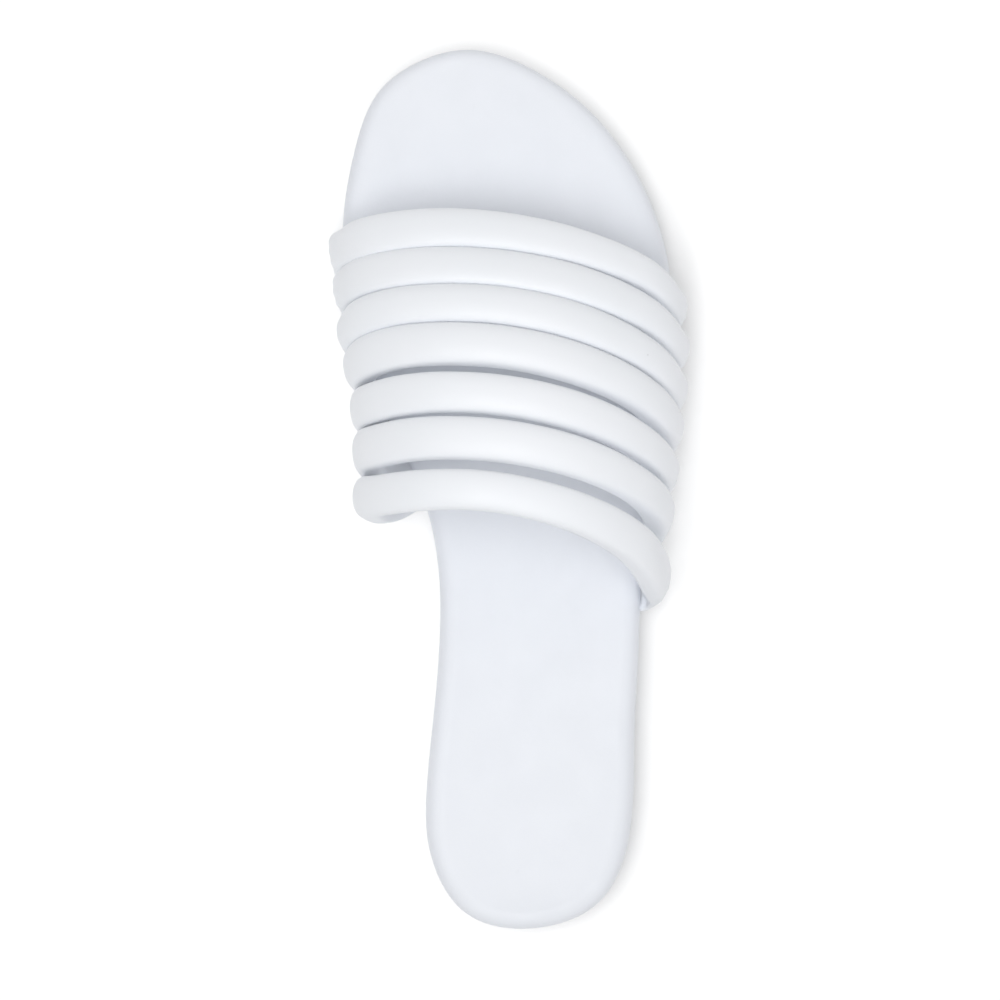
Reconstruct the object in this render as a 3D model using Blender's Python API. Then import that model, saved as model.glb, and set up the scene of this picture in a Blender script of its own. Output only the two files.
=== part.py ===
"""Slide sandal for a right foot: a moulded rubber outsole, a padded footbed and seven padded tube straps.

Runs in Blender 4.5. Lengths are metres. The toe points to +Y, the big toe's side is -X and +Z is up.
The sizes below are millimetres, and the tables hold shares of the named sizes.
"""
import math

import bmesh
import bpy
import numpy as np

MM = 0.001

# Driving sizes of the sole
LENGTH = 256.0             # footbed, heel to toe
BALL_WIDTH = 96.0          # footbed, across the ball of the foot
OUTSOLE_HEEL = 8.2         # outsole at the heel, floor to its upper face
ARCH_RISE = 2.4            # outsole's underside over the floor at the waist
TOE_SPRING = 6.2           # outsole's underside over the floor at the tip of the toe
FOOTBED_THICKNESS = 7.5
CUP_DEPTH = 1.6            # how much higher the footbed is near its edge at the heel
EDGE_ROLL = 5.0            # how far in the footbed's padded edge rolls over
RIM = 9.0                  # band of a sole's flat face next to its edge
OUTSOLE_INSET = 1.0        # outsole's upper lip inside the footbed's edge
LIP_SHARE = 0.45           # outsole's upper lip, as a share of the outsole's height
LIP_STEP = 0.9             # outsole's side below the lip, further in
GROUND_ROUND = 1.6         # rounding of the outsole's ground edge
CHANNEL_WIDTH = 2.4        # cross channels between the lugs
CHANNEL_DEPTH = 1.2

# Driving sizes of the straps
INSTEP_HEIGHT = 71.2       # floor to the middle of the rear tube at its crown
BULGE_SHARE = 0.36         # height of a strap's widest place, as a share of its crown over the footbed
TUBE_WIDTH = 12.0
TUBE_THICKNESS = 9.5
TUBE_OUTER_SHARE = 0.56    # part of a tube's thickness outside its middle line
LEG_THICKNESS = 2.6        # a tube pressed flat beside the footbed's edge
LEG_STANDOFF = 0.9         # between a leg and the footbed's edge
LEG_FLARE = 0.30           # how soon a leg leans out to its bulge, as a share of the bulge's overhang
LEG_PUFF = 0.26            # how much thicker a leg stays, as a share of the same overhang
TAB_THICKNESS = 2.4        # a tube's end under the footbed
TAB_DEPTH = 14.0           # how far a tab runs in under the footbed
CLEARANCE = 0.3            # between neighbouring pieces

# Resolution
HALF_OUTLINE = 46          # steps from toe to heel along one side of the sole
END_CROWDING = 0.07        # how much closer those steps are at the toe and the heel
TUBE_SIDES = 12            # points round a tube

# Outline of the footbed, toe first and down the medial side.
# Columns: along (share of LENGTH from the heel), across (share of BALL_WIDTH from the shoe's axis)
OUTLINE = (
    (1.000, -0.073),
    (0.990, -0.215),
    (0.960, -0.340),
    (0.893, -0.428),
    (0.826, -0.470),
    (0.765, -0.479),
    (0.702, -0.458),
    (0.630, -0.411),
    (0.582, -0.362),
    (0.531, -0.308),
    (0.483, -0.266),
    (0.433, -0.243),
    (0.389, -0.238),
    (0.321, -0.250),
    (0.230, -0.284),
    (0.155, -0.312),
    (0.108, -0.315),
    (0.066, -0.290),
    (0.024, -0.220),
    (0.000, -0.010),
    (0.030, 0.207),
    (0.075, 0.278),
    (0.125, 0.309),
    (0.218, 0.329),
    (0.309, 0.354),
    (0.400, 0.378),
    (0.455, 0.402),
    (0.525, 0.438),
    (0.600, 0.474),
    (0.672, 0.501),
    (0.738, 0.509),
    (0.790, 0.486),
    (0.831, 0.450),
    (0.877, 0.388),
    (0.925, 0.291),
    (0.967, 0.156),
)

# Side profile of the sole.
# Columns: along (share of LENGTH), outsole's upper face (share of OUTSOLE_HEEL), arch (share of ARCH_RISE),
# toe spring (share of TOE_SPRING), cup (share of CUP_DEPTH)
PROFILE = (
    (0.00, 1.195, 0.67, 0.00, 1.00),
    (0.04, 1.098, 0.00, 0.00, 1.00),
    (0.15, 1.000, 0.00, 0.00, 1.00),
    (0.32, 0.915, 0.00, 0.00, 0.75),
    (0.35, 0.878, 0.79, 0.00, 0.69),
    (0.45, 0.720, 1.00, 0.00, 0.50),
    (0.55, 0.561, 0.42, 0.00, 0.31),
    (0.62, 0.488, 0.00, 0.00, 0.25),
    (0.82, 0.500, 0.00, 0.00, 0.19),
    (0.90, 0.476, 0.00, 0.27, 0.19),
    (1.00, 0.415, 0.00, 1.00, 0.19),
)

# Where each tube runs, front tube first.
# Columns: crown along, crown height (share of INSTEP_HEIGHT), medial bulge along and across,
# lateral bulge along and across, medial foot along, lateral foot along
TUBES = (
    (0.781, 0.646, 0.781, -0.445, 0.703, 0.489, 0.775, 0.694),
    (0.736, 0.719, 0.737, -0.442, 0.652, 0.492, 0.727, 0.641),
    (0.698, 0.789, 0.686, -0.446, 0.606, 0.480, 0.678, 0.589),
    (0.652, 0.853, 0.646, -0.431, 0.562, 0.463, 0.631, 0.536),
    (0.601, 0.909, 0.598, -0.419, 0.515, 0.442, 0.585, 0.484),
    (0.551, 0.958, 0.549, -0.418, 0.469, 0.421, 0.539, 0.432),
    (0.494, 1.000, 0.498, -0.422, 0.415, 0.399, 0.492, 0.380),
)

# Section of the last over which every tube arches, medial bulge to lateral bulge.
# Columns: across (share of the half span), height (share from bulge to crown),
# share of the way along from the crown to that side's bulge, lead towards the toe (share of TUBE_WIDTH),
# a free tube's width (share of TUBE_WIDTH)
ARCH = (
    (-1.00, 0.00, 1.00, 0.00, 0.99),
    (-0.90, 0.49, 0.30, 0.09, 0.99),
    (-0.72, 0.75, 0.00, 0.15, 0.99),
    (-0.42, 0.94, 0.00, 0.15, 0.98),
    (-0.06, 1.00, 0.00, 0.00, 0.97),
    (0.33, 0.95, 0.19, 0.00, 0.95),
    (0.64, 0.79, 0.43, 0.00, 0.90),
    (0.86, 0.54, 0.68, 0.00, 0.83),
    (1.00, 0.00, 1.00, 0.00, 0.83),
)

# Rows of sections along a tube: tab end to footbed edge, round the turn, up beside the edge, on to the bulge
LEG_STEPS = (1, 2, 2, 4)
ARCH_STEPS = 2             # rows between two places of the arch

# Section of a tube below its bulge; above it stays the same.
# Columns: row counted from the tab's end, thickness (mm), share of the full width,
# squareness (2 is an ellipse), share of the leg's extra thickness
LEG = (
    (0, TAB_THICKNESS, 0.90, 3.6, 0.0),
    (1, TAB_THICKNESS, 0.92, 3.6, 0.0),
    (3, TAB_THICKNESS, 0.94, 3.0, 0.0),
    (5, LEG_THICKNESS, 0.96, 2.5, 1.0),
    (6, LEG_THICKNESS * 1.6, 0.98, 2.3, 1.0),
    (7, TUBE_THICKNESS * 0.72, 1.00, 2.2, 0.5),
    (9, TUBE_THICKNESS, 1.00, 2.2, 0.0),
)

# Lugs: cross channels cut in the outsole.
# Columns: along (share of LENGTH), turn about the upright axis (degrees)
CHANNELS = (
    (0.055, -4.0),
    (0.100, -3.0),
    (0.190, 0.0),
    (0.235, 2.0),
    (0.280, 4.0),
    (0.640, -12.0),
    (0.680, -10.0),
    (0.760, -6.0),
    (0.800, -4.0),
    (0.845, -2.0),
    (0.890, 0.0),
)


def smooth_between(xs, ys, x):
    """A smooth value through the rows that keeps level stretches level."""
    xs = np.asarray(xs, float)
    ys = np.asarray(ys, float)
    x = np.asarray(x, float)
    step = np.diff(xs)
    slope = np.diff(ys) / step
    grade = np.concatenate(([slope[0]], np.zeros(len(xs) - 2), [slope[-1]]))
    for i in range(1, len(xs) - 1):
        if slope[i - 1] * slope[i] > 0:
            grade[i] = 2 * slope[i - 1] * slope[i] / (slope[i - 1] + slope[i])
    k = np.clip(np.searchsorted(xs, x) - 1, 0, len(step) - 1)
    t = np.clip((x - xs[k]) / step[k], 0, 1)
    start = ys[k] * (1 + 2 * t) * (1 - t) ** 2 + grade[k] * step[k] * t * (1 - t) ** 2
    end = ys[k + 1] * t ** 2 * (3 - 2 * t) + grade[k + 1] * step[k] * t ** 2 * (t - 1)
    return start + end


def hermite(points, tangents, chords, k, t):
    """A point of the span k at share t."""
    j = (k + 1) % len(points)
    start = points[k] * (1 + 2 * t) * (1 - t) ** 2 + tangents[k] * chords[k] * t * (1 - t) ** 2
    end = points[j] * t ** 2 * (3 - 2 * t) + tangents[j] * chords[k] * t ** 2 * (t - 1)
    return start + end


def spline_tangents(points, chords, closed):
    """Tangents that join the spans of a curve with even curvature."""
    count = len(points)
    matrix = np.zeros((count, count))
    right = np.zeros_like(points)
    for i in range(count):
        if not closed and i in (0, count - 1):
            j = 1 if i == 0 else count - 2
            first, last = min(i, j), max(i, j)
            matrix[i, i] = 2
            matrix[i, j] = 1
            right[i] = 3 * (points[last] - points[first]) / chords[first]
            continue
        before, after = chords[i - 1], chords[i]
        share = after / (before + after)
        matrix[i, i] = 2
        matrix[i, i - 1] = share
        matrix[i, (i + 1) % count] = 1 - share
        back = (points[i] - points[i - 1]) / before
        ahead = (points[(i + 1) % count] - points[i]) / after
        right[i] = 3 * (share * back + (1 - share) * ahead)
    return np.linalg.solve(matrix, right)


def spline(points, steps, closed=False):
    """A smooth curve through the points, with the given steps in each span."""
    points = np.asarray(points, float)
    following = np.roll(points, -1, axis=0)
    chords = np.linalg.norm(following - points, axis=1)
    tangents = spline_tangents(points, chords, closed)
    places = []
    spans = len(points) if closed else len(points) - 1
    for k in range(spans):
        for step in range(steps[k]):
            places.append(hermite(points, tangents, chords, k, step / steps[k]))
    if not closed:
        places.append(points[-1])
    return np.array(places)


def respaced(points, count):
    """The same line as count + 1 points, closer together at its two ends, where a sole bends most."""
    lengths = np.concatenate(([0.0], np.cumsum(np.linalg.norm(np.diff(points, axis=0), axis=1))))
    share = np.linspace(0, 1, count + 1)
    places = lengths[-1] * (share - END_CROWDING * np.sin(2 * math.pi * share))
    return np.column_stack([np.interp(places, lengths, points[:, axis]) for axis in range(2)])


def along(y):
    """Share of the length from the heel."""
    return np.asarray(y) / LENGTH


def profile(column, y):
    """A column of the side profile at a place along the shoe."""
    rows = np.array(PROFILE)
    return smooth_between(rows[:, 0], rows[:, column], along(y))


def outsole_top(y):
    """Height of the outsole's upper face."""
    return OUTSOLE_HEEL * profile(1, y) + TOE_SPRING * profile(3, y)


def ground(y):
    """Height of the outsole's underside over the floor."""
    return ARCH_RISE * profile(2, y) + TOE_SPRING * profile(3, y)


def footbed_bottom(y):
    """Height of the footbed's lower face."""
    return outsole_top(y) + CLEARANCE


def footbed_top(y):
    """Height of the footbed's upper face on its middle line."""
    return footbed_bottom(y) + FOOTBED_THICKNESS


def cup(y):
    """How much higher the footbed is near its edge than on its middle line."""
    return CUP_DEPTH * profile(4, y)


class Outline:
    """The footbed's edge as matching medial and lateral sides, toe to heel, with the line between them."""

    def __init__(self):
        corners = [(across * BALL_WIDTH, share * LENGTH) for share, across in OUTLINE]
        dense = spline(corners, [12] * len(corners), closed=True)
        dense = np.roll(dense, -int(np.argmax(dense[:, 1])), axis=0)
        heel = int(np.argmin(dense[:, 1]))
        self.medial = respaced(dense[:heel + 1], HALF_OUTLINE)
        self.lateral = respaced(np.vstack([dense[heel:], dense[:1]])[::-1], HALF_OUTLINE)
        self.loop = np.vstack([self.medial, self.lateral[-2:0:-1]])
        middle = (self.medial + self.lateral) / 2
        centre = middle.mean(axis=0)
        self.spine = centre + (middle - centre) * 0.84

    def outward(self):
        """Outward direction at each point of the loop."""
        step = np.roll(self.loop, -1, axis=0) - np.roll(self.loop, 1, axis=0)
        normal = np.column_stack([step[:, 1], -step[:, 0]])
        return normal / np.linalg.norm(normal, axis=1, keepdims=True)

    def inset(self, distance):
        """The edge moved inwards."""
        return self.loop - self.outward() * distance

    def towards_spine(self, distance, share):
        """The inset edge moved further in by a share of the way to the middle line."""
        ring = self.inset(distance)
        count = HALF_OUTLINE
        target = np.vstack([self.spine, self.spine[count - 1:0:-1]])
        return ring + (target - ring) * share

    def foot(self, side, share):
        """The point of the edge at a share of the length, with its outward direction."""
        line = self.medial if side < 0 else self.lateral
        y = share * LENGTH
        x = np.interp(y, line[::-1, 1], line[::-1, 0])
        reach = TUBE_WIDTH / 3
        ahead = np.interp(y + reach, line[::-1, 1], line[::-1, 0])
        behind = np.interp(y - reach, line[::-1, 1], line[::-1, 0])
        direction = np.array([2 * reach, behind - ahead]) * side
        return np.array([x, y]), direction / np.linalg.norm(direction)


def collection(name):
    """A new collection in the scene."""
    made = bpy.data.collections.new(name)
    bpy.context.scene.collection.children.link(made)
    return made


def material(name, colour, roughness):
    """A Principled material of one colour."""
    made = bpy.data.materials.new(name)
    made.use_nodes = True
    shader = made.node_tree.nodes["Principled BSDF"]
    shader.inputs["Base Color"].default_value = (*colour, 1.0)
    shader.inputs["Roughness"].default_value = roughness
    shader.inputs["Metallic"].default_value = 0.0
    return made


def mesh_object(name, places, faces, group, coat=None):
    """An object from places in millimetres and their faces, with its faces turned outward."""
    body = bpy.data.meshes.new(name)
    body.from_pydata([tuple(place * MM) for place in places], [], faces)
    work = bmesh.new()
    work.from_mesh(body)
    bmesh.ops.recalc_face_normals(work, faces=work.faces)
    work.to_mesh(body)
    work.free()
    made = bpy.data.objects.new(name, body)
    group.objects.link(made)
    if coat:
        body.materials.append(coat)
        body.polygons.foreach_set("use_smooth", [True] * len(body.polygons))
    return made


def cut(target, cutter, solver="EXACT"):
    """Takes the cutter's shape out of the target."""
    cutter.hide_render = True
    cutter.display_type = "WIRE"
    boolean = target.modifiers.new(cutter.name, "BOOLEAN")
    boolean.operation = "DIFFERENCE"
    boolean.solver = solver
    boolean.object = cutter


def sole_body(name, rings, low_spine, high_spine, group, coat):
    """A closed body from rings that run from its lower face out, up and in over its upper face."""
    count = len(rings[0])
    half = HALF_OUTLINE
    places = np.vstack(rings + [low_spine, high_spine])
    low = len(rings) * count
    high = low + half + 1
    last = (len(rings) - 1) * count
    faces = []
    for level in range(len(rings) - 1):
        for i in range(count):
            j = (i + 1) % count
            faces.append((level * count + i, level * count + j, (level + 1) * count + j, (level + 1) * count + i))
    for start, spine_start in ((0, low), (last, high)):
        for i in range(half):
            opposite = (count - i) % count
            faces.append((start + i, start + i + 1, spine_start + i + 1, spine_start + i))
            faces.append((start + opposite, start + count - i - 1, spine_start + i + 1, spine_start + i))
    return mesh_object(name, places, faces, group, coat)


def raised(ring, height):
    """A flat ring with its heights."""
    return np.column_stack([ring, height])


def build_footbed(outline, group, coat):
    """The padded insole: a level underside, a rolled edge and a slightly cupped top."""
    thickness = FOOTBED_THICKNESS
    low_rim = outline.inset(RIM)
    rings = [raised(low_rim, footbed_bottom(low_rim[:, 1]))]
    for distance, share in ((0.20, 0.0), (0.04, 0.14), (0.0, 0.36), (0.06, 0.62), (0.26, 0.86)):
        ring = outline.inset(EDGE_ROLL * distance)
        height = footbed_bottom(ring[:, 1]) + share * (thickness + cup(ring[:, 1]) / 2)
        rings.append(raised(ring, height))
    for distance, share in ((0.6, 0.95), (1.0, 1.0)):
        ring = outline.inset(EDGE_ROLL * distance)
        rings.append(raised(ring, footbed_bottom(ring[:, 1]) + thickness * share + cup(ring[:, 1])))
    for share in (0.22, 0.52):
        ring = outline.towards_spine(EDGE_ROLL, share)
        rings.append(raised(ring, footbed_top(ring[:, 1]) + cup(ring[:, 1]) * (1 - share) ** 2))
    spine_y = outline.spine[:, 1]
    low = raised(outline.spine, footbed_bottom(spine_y))
    high = raised(outline.spine, footbed_top(spine_y))
    return sole_body("footbed", rings, low, high, group, coat)


def build_outsole(outline, group, coat):
    """The moulded bottom: a lip under the footbed, a side stepped in below it and a rounded ground edge."""
    lip = OUTSOLE_INSET
    side = OUTSOLE_INSET + LIP_STEP
    step = 1 - LIP_SHARE
    section = (
        (side + RIM, 0.0), (side + GROUND_ROUND, 0.0), (side + 0.25 * GROUND_ROUND, 0.12), (side, 0.30),
        (side, step - 0.08), (lip, step), (lip, 0.92), (lip + 0.25 * GROUND_ROUND, 1.0), (side + RIM, 1.0),
    )
    rings = []
    for distance, share in section:
        ring = outline.inset(distance)
        low = ground(ring[:, 1])
        high = outsole_top(ring[:, 1])
        rings.append(raised(ring, low + (high - low) * share))
    spine_y = outline.spine[:, 1]
    low = raised(outline.spine, ground(spine_y))
    high = raised(outline.spine, outsole_top(spine_y))
    return sole_body("outsole", rings, low, high, group, coat)


def overhang_of(point, out, bulge):
    """How far a bulge stands out over the footbed's edge."""
    return max(0.0, float(np.dot(bulge[:2] - point, out)))


def leg_places(outline, side, bulge, foot_share):
    """The four places of a tube's path below its bulge, tab end first."""
    point, out = outline.foot(side, foot_share)
    overhang = overhang_of(point, out, bulge)
    tab = float(footbed_bottom(point[1])) + TAB_THICKNESS / 2 + CLEARANCE / 3
    inner = (LEG_THICKNESS + LEG_PUFF * overhang) * (1 - TUBE_OUTER_SHARE)
    beside = inner + LEG_STANDOFF + LEG_FLARE * overhang
    near_top = float(footbed_top(point[1])) - 0.1 * FOOTBED_THICKNESS
    lean = (bulge[1] - point[1]) / 4
    return [
        np.array([*(point - out * TAB_DEPTH), tab]),
        np.array([*(point - out * TAB_THICKNESS * 1.1), tab]),
        np.array([*(point + out * (TAB_THICKNESS + LEG_FLARE * overhang) / 5), tab + TAB_THICKNESS / 3]),
        np.array([*(point + out * beside), near_top]) + np.array([0.0, lean, 0.0]),
    ]


def arch_places(row):
    """The places of one tube's middle line from its medial bulge over the foot to its lateral bulge."""
    crown_share, height, medial_along, medial_across, lateral_along, lateral_across, _, _ = row
    crown_y = crown_share * LENGTH
    crown_z = height * INSTEP_HEIGHT
    base = float(footbed_top(crown_y))
    bulge_z = base + BULGE_SHARE * (crown_z - base)
    left = medial_across * BALL_WIDTH
    right = lateral_across * BALL_WIDTH
    places = []
    for across, rise, way, lead, _ in ARCH:
        side_along = medial_along if across < 0 else lateral_along
        x = (left + right) / 2 + across * (right - left) / 2
        y = crown_y + way * (side_along * LENGTH - crown_y) + lead * TUBE_WIDTH
        places.append(np.array([x, y, bulge_z + rise * (crown_z - bulge_z)]))
    return places


def tube_line(outline, row):
    """The middle line of one tube, from its medial tab over the foot to its lateral tab."""
    places = arch_places(row)
    medial = leg_places(outline, -1, places[0], row[6])
    lateral = leg_places(outline, 1, places[-1], row[7])
    steps = list(LEG_STEPS) + [ARCH_STEPS] * (len(ARCH) - 1) + list(LEG_STEPS[::-1])
    return spline(medial + places + lateral[::-1], steps)


def free_half_width():
    """Half the width that a tube takes where nothing is beside it, at every row of sections."""
    first = sum(LEG_STEPS)
    places = first + ARCH_STEPS * np.arange(len(ARCH))
    rows = np.arange(places[-1] + first + 1)
    shares = [row[4] for row in ARCH]
    return smooth_between(places, shares, np.clip(rows, places[0], places[-1])) * TUBE_WIDTH / 2


def tube_sizes(outline, row):
    """Thickness, share of width and squareness at every row of sections of one tube."""
    total = 2 * sum(LEG_STEPS) + ARCH_STEPS * (len(ARCH) - 1)
    rows = np.arange(total + 1)
    from_end = np.minimum(rows, total - rows)
    table = np.array(LEG)
    thickness, width, square, puff = [
        smooth_between(table[:, 0], table[:, column], from_end) for column in (1, 2, 3, 4)
    ]
    places = arch_places(row)
    medial = overhang_of(*outline.foot(-1, row[6]), places[0])
    lateral = overhang_of(*outline.foot(1, row[7]), places[-1])
    extra = np.where(rows < total / 2, medial, lateral) * LEG_PUFF
    return thickness + puff * extra, width, square


def unit(vectors):
    """The same directions with length one."""
    return vectors / np.linalg.norm(vectors, axis=-1, keepdims=True)


def across_tubes(lines, index, step):
    """From a tube's line to its neighbour's, square to the line, with the half width that leaves a gap."""
    line = lines[index]
    tangent = unit(np.gradient(line, axis=0))
    neighbour = index + step
    inside = 0 <= neighbour < len(lines)
    reach = lines[neighbour] - line if inside else line - lines[index - step]
    reach = reach - tangent * np.sum(reach * tangent, axis=1, keepdims=True)
    distance = np.linalg.norm(reach, axis=1)
    half = np.minimum(distance / 2 - CLEARANCE / 2, free_half_width())
    return unit(reach), half, tangent


def tube_rings(outline, lines, index, grow_in=0.0, grow_out=0.0, grow_side=0.0):
    """Sections of one tube: rings of points in rows along its line."""
    front, front_half, tangent = across_tubes(lines, index, -1)
    rear, rear_half, _ = across_tubes(lines, index, 1)
    thickness, width, square = tube_sizes(outline, TUBES[index])
    outward = unit(np.cross(unit(rear - front), tangent))
    rings = []
    for row in range(len(lines[index])):
        ring = []
        for k in range(TUBE_SIDES):
            angle = 2 * math.pi * k / TUBE_SIDES
            c = math.cos(angle)
            s = math.sin(angle)
            sideways = math.copysign(abs(c) ** (2 / square[row]), c)
            upward = math.copysign(abs(s) ** (2 / square[row]), s)
            rearness = (1 + c) / 2
            direction = unit(rear[row] * rearness - front[row] * (1 - rearness))
            half = (rear_half[row] if c > 0 else front_half[row]) * width[row] + grow_side
            if s > 0:
                rise = thickness[row] * TUBE_OUTER_SHARE + grow_out
            else:
                rise = thickness[row] * (1 - TUBE_OUTER_SHARE) + grow_in
            ring.append(lines[index][row] + direction * half * sideways + outward[row] * rise * upward)
        rings.append(np.array(ring))
    return rings


def tube_faces(row_count, first=0):
    """Faces of a tube of rings, closed at both ends."""
    faces = []
    for row in range(row_count - 1):
        for k in range(TUBE_SIDES):
            j = (k + 1) % TUBE_SIDES
            here = first + row * TUBE_SIDES
            there = here + TUBE_SIDES
            faces.append((here + k, here + j, there + j, there + k))
    faces.append(tuple(first + k for k in range(TUBE_SIDES)))
    faces.append(tuple(first + (row_count - 1) * TUBE_SIDES + k for k in range(TUBE_SIDES)))
    return faces


def build_pockets(outline, lines, group):
    """The spaces that the tabs need under the footbed's edge, as one cutter."""
    places = []
    faces = []
    leg_rows = 1 + sum(LEG_STEPS[:-1])
    for index in range(len(lines)):
        rings = tube_rings(outline, lines, index, CLEARANCE, 4 * CLEARANCE, CLEARANCE)
        for part in (rings[:leg_rows], rings[::-1][:leg_rows]):
            end = unit(part[0].mean(axis=0) - part[1].mean(axis=0)) * CLEARANCE
            part = [part[0] + end] + part[1:]
            faces += tube_faces(len(part), len(places))
            places += [place for ring in part for place in ring]
    return mesh_object("tab_pockets", places, faces, group)


def build_channels(group):
    """Bars that cut the cross channels between the lugs, as one cutter."""
    places = []
    faces = []
    for share, turn in CHANNELS:
        y = share * LENGTH
        low = float(ground(y))
        slope = float(ground(y + CHANNEL_WIDTH) - ground(y - CHANNEL_WIDTH)) / (2 * CHANNEL_WIDTH)
        angle = math.radians(turn)
        start = len(places)
        for dx in (-BALL_WIDTH, BALL_WIDTH):
            for dy, dz in ((-0.8, -1.6), (0.8, -1.6), (0.35, 1.0), (-0.35, 1.0)):
                step = dy * CHANNEL_WIDTH
                x = dx * math.cos(angle) - step * math.sin(angle)
                lengthwise = dx * math.sin(angle) + step * math.cos(angle)
                places.append(np.array([x, y + lengthwise, low + dz * CHANNEL_DEPTH + step * slope]))
        faces += [tuple(start + k for k in face) for face in (
            (0, 1, 2, 3), (4, 5, 6, 7), (0, 1, 5, 4), (1, 2, 6, 5), (2, 3, 7, 6), (3, 0, 4, 7))]
    return mesh_object("lug_channels", places, faces, group)


def main():
    """Builds the sandal."""
    for old in list(bpy.data.objects):
        bpy.data.objects.remove(old, do_unlink=True)
    shoe = collection("slide_sandal")
    cutters = collection("cutters")
    rubber = material("outsole_rubber", (0.80, 0.82, 0.85), 0.55)
    footbed_leather = material("footbed_leather", (0.80, 0.83, 0.88), 0.45)
    strap_leather = material("strap_leather", (0.84, 0.86, 0.90), 0.42)
    outline = Outline()
    lines = [tube_line(outline, row) for row in TUBES]
    outsole = build_outsole(outline, shoe, rubber)
    cut(outsole, build_channels(cutters), "MANIFOLD")
    footbed = build_footbed(outline, shoe, footbed_leather)
    cut(footbed, build_pockets(outline, lines, cutters))
    pieces = [outsole, footbed]
    for index in range(len(lines)):
        places = [place for ring in tube_rings(outline, lines, index) for place in ring]
        faces = tube_faces(len(lines[index]))
        pieces.append(mesh_object(f"strap_{index + 1}", places, faces, shoe, strap_leather))
    corners = np.array([corner.co for piece in pieces for corner in piece.data.vertices])
    middle = (corners.min(axis=0) + corners.max(axis=0)) / 2
    centre = bpy.data.objects.new("slide_sandal_centre", None)
    shoe.objects.link(centre)
    centre.location = (-middle[0], -middle[1], 0.0)
    for made in pieces + list(cutters.objects):
        made.parent = centre


main()
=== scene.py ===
"""Looks of the slide sandal: a white right-foot slide of smooth faux leather with a moulded rubber sole.

Every piece is made in millimetres in the shoe's own frame, with the heel end at y = 0, the toe towards +Y,
the big toe's side at -X and +Z up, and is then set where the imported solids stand.
"""

import logging
import math
from dataclasses import dataclass
from enum import Enum
from typing import Any, NamedTuple, Sequence

import bpy
import numpy as np
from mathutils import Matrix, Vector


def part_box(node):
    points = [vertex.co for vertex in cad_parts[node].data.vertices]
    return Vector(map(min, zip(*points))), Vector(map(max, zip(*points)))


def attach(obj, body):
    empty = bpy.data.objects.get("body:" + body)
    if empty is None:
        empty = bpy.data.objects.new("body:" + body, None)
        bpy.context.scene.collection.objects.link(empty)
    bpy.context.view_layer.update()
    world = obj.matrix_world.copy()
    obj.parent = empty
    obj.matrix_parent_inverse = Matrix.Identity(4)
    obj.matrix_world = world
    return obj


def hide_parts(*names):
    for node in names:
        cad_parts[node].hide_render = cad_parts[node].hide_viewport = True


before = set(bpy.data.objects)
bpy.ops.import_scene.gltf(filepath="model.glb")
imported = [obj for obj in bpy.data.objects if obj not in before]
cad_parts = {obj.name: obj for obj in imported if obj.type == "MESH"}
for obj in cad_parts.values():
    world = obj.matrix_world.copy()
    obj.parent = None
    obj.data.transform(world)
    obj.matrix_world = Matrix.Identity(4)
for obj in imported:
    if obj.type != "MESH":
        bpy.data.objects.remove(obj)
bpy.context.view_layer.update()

MM = 0.001
LOG = logging.getLogger("slide_sandal")
Array = np.ndarray


class Side(Enum):
    """The two long sides of the shoe, with their sign along X."""

    MEDIAL = -1
    LATERAL = 1


class Slot(Enum):
    """The record's material slots."""

    FOOTBED = "footbed_leather"
    STRAP = "strap_leather"
    OUTSOLE = "outsole_rubber"


# ---------------------------------------------------------------- curves


def smooth_between(xs: Sequence[float], ys: Sequence[float], x: Any) -> Array:
    """A smooth value through the rows of a table that keeps level stretches level.

    Args:
        xs: Places of the rows, rising.
        ys: Values of the rows.
        x: Places to read.

    Returns:
        The values at x.
    """
    xs, ys, x = (np.asarray(values, float) for values in (xs, ys, x))
    step = np.diff(xs)
    slope = np.diff(ys) / step
    grade = np.concatenate(([slope[0]], np.zeros(len(xs) - 2), [slope[-1]]))
    for i in range(1, len(xs) - 1):
        if slope[i - 1] * slope[i] > 0:
            grade[i] = 2 * slope[i - 1] * slope[i] / (slope[i - 1] + slope[i])
    k = np.clip(np.searchsorted(xs, x) - 1, 0, len(step) - 1)
    t = np.clip((x - xs[k]) / step[k], 0, 1)
    start = ys[k] * (1 + 2 * t) * (1 - t) ** 2 + grade[k] * step[k] * t * (1 - t) ** 2
    end = ys[k + 1] * t**2 * (3 - 2 * t) + grade[k + 1] * step[k] * t**2 * (t - 1)
    return start + end


def unit(vectors: Array) -> Array:
    """The same directions with length one."""
    return vectors / np.linalg.norm(vectors, axis=-1, keepdims=True)


def ramp(x: Any, low: float, high: float) -> Array:
    """An eased rise from 0 at low to 1 at high."""
    t = np.clip((np.asarray(x, float) - low) / (high - low), 0, 1)
    return t * t * (3 - 2 * t)


def run_along(points: Array) -> Array:
    """Length from a line's first point to each of its points."""
    return np.concatenate(([0.0], np.cumsum(np.linalg.norm(np.diff(points, axis=0), axis=1))))


def read_line(points: Array, run: Array, places: Any) -> Array:
    """Points of a line at given lengths along it."""
    return np.stack([np.interp(places, run, column) for column in points.T], axis=-1)


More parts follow.
